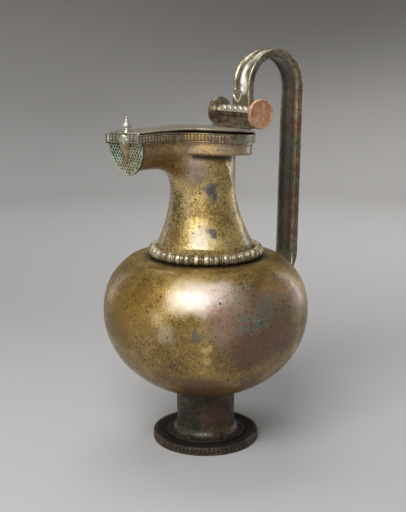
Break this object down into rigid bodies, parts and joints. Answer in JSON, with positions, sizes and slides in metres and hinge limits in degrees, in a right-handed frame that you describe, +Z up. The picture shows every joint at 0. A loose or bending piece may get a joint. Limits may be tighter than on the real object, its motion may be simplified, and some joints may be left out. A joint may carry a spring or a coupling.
{
  "type": "lidded jug",
  "caption": "Metal ewer with a round body on a stemmed foot, a strap handle, a hinged lid and a trough spout closed by a pierced strainer plate.",
  "frame": {"origin": "centre of the foot's underside, on the axis of the body", "axes": "+Z up along the body's axis, +X to the spout, +Y along the hinge towards the copper-red disc"},
  "size_m": [0.1944, 0.1836, 0.3509],
  "materials": {
    "belly_bronze": "aged gold-brown bronze, dark pits",
    "neck_bronze": "aged gold-brown bronze, dark blotches",
    "ring_bronze": "worn bright bronze with dark hollows",
    "rim_bronze": "grey-brown bronze with green bloom",
    "lid_bronze": "grey-brown bronze, worn edge",
    "fascia_bronze": "worn pale bronze, dark hollows",
    "leaf_bronze": "tan-brown bronze",
    "finial_bronze": "polished pale bronze",
    "strainer_bronze": "pale green patina",
    "handle_bronze": "dark olive bronze with worn bright ridges",
    "roll_bronze": "worn bright bronze",
    "disc_copper": "matt copper-red",
    "dark_bronze": "dark brown patina",
    "foot_bronze": "dark olive-brown patina with green bloom",
    "pin_bronze": "plain bronze"
  },
  "bodies": {
    "jug": {"belly": "belly_bronze", "foot_disc": "foot_bronze", "foot_stem": "foot_bronze", "neck_and_spout": "neck_bronze", "neck_ring": "ring_bronze", "rim_band": "rim_bronze", "strainer": "strainer_bronze", "handle": "handle_bronze", "hinge_roll": "roll_bronze", "rotelle_near": "disc_copper", "rotelle_far": "dark_bronze", "hinge_pin": "pin_bronze", "foot_rivet_1": "foot_bronze", "foot_rivet_2": "foot_bronze", "foot_rivet_3": "foot_bronze", "foot_rivet_4": "foot_bronze", "foot_rivet_5": "foot_bronze", "foot_rivet_6": "foot_bronze"},
    "lid": {"lid": "lid_bronze", "lid_fascia": "fascia_bronze", "lid_leaf": "leaf_bronze", "lid_finial": "finial_bronze", "lid_bracket_near": "dark_bronze", "lid_bracket_far": "dark_bronze", "bracket_rivet_1": "dark_bronze", "bracket_rivet_2": "dark_bronze", "bracket_rivet_3": "dark_bronze", "bracket_rivet_4": "dark_bronze"}
  },
  "joints": [
    {"name": "lid_hinge", "type": "hinge", "parent": "jug", "child": "lid", "pos_m": [-0.038, 0, 0.2958], "axis": [0, -1, 0], "range_deg": [0, 75]}
  ]
}
